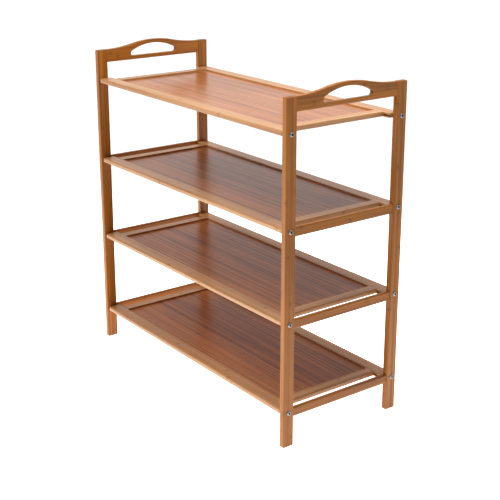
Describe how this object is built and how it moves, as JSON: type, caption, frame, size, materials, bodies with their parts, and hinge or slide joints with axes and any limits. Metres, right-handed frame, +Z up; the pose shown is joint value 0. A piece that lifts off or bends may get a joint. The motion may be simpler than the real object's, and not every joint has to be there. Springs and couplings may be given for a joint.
{
  "type": "tiered shoe rack",
  "caption": "Free-standing bamboo shoe rack: ladder side frames with arched hand-grip boards, bolted to framed shelves with recessed panels.",
  "frame": {"origin": "on the floor under the middle of the rack", "axes": "+Z up, +X to the right along the shelves as seen from the front, +Y from the front to the rear"},
  "size_m": [0.7056, 0.3, 0.714],
  "materials": {
    "leg_bamboo": "satin lacquered bamboo, honey amber",
    "frame_bamboo": "satin lacquered bamboo, honey amber",
    "shelf_bamboo": "satin lacquered bamboo, lighter tan",
    "panel_bamboo": "satin lacquered strip bamboo, reddish brown",
    "dowel_wood": "raw hardwood",
    "bolt_steel": "bright zinc-plated steel",
    "zinc_steel": "zinc-plated steel"
  },
  "bodies": {
    "root": {"leg_front_left": "leg_bamboo", "leg_rear_left": "leg_bamboo", "handle_board_left": "frame_bamboo", "side_rail_left_tier1": "frame_bamboo", "side_rail_left_tier2": "frame_bamboo", "side_rail_left_tier3": "frame_bamboo", "frame_dowels_left": "dowel_wood", "leg_front_right": "leg_bamboo", "leg_rear_right": "leg_bamboo", "handle_board_right": "frame_bamboo", "side_rail_right_tier1": "frame_bamboo", "side_rail_right_tier2": "frame_bamboo", "side_rail_right_tier3": "frame_bamboo", "frame_dowels_right": "dowel_wood", "front_rail_tier1": "shelf_bamboo", "rear_rail_tier1": "shelf_bamboo", "end_rail_left_tier1": "shelf_bamboo", "end_rail_right_tier1": "shelf_bamboo", "panel_tier1": "panel_bamboo", "shelf_dowels_tier1": "dowel_wood", "barrel_nuts_tier1": "zinc_steel", "front_rail_tier2": "shelf_bamboo", "rear_rail_tier2": "shelf_bamboo", "end_rail_left_tier2": "shelf_bamboo", "end_rail_right_tier2": "shelf_bamboo", "panel_tier2": "panel_bamboo", "shelf_dowels_tier2": "dowel_wood", "barrel_nuts_tier2": "zinc_steel", "front_rail_tier3": "shelf_bamboo", "rear_rail_tier3": "shelf_bamboo", "end_rail_left_tier3": "shelf_bamboo", "end_rail_right_tier3": "shelf_bamboo", "panel_tier3": "panel_bamboo", "shelf_dowels_tier3": "dowel_wood", "barrel_nuts_tier3": "zinc_steel", "front_rail_tier4": "shelf_bamboo", "rear_rail_tier4": "shelf_bamboo", "end_rail_left_tier4": "shelf_bamboo", "end_rail_right_tier4": "shelf_bamboo", "panel_tier4": "panel_bamboo", "shelf_dowels_tier4": "dowel_wood", "barrel_nuts_tier4": "zinc_steel", "bolts_front_left": "bolt_steel", "bolts_rear_left": "bolt_steel", "bolts_front_right": "bolt_steel", "bolts_rear_right": "bolt_steel"}
  },
  "joints": []
}
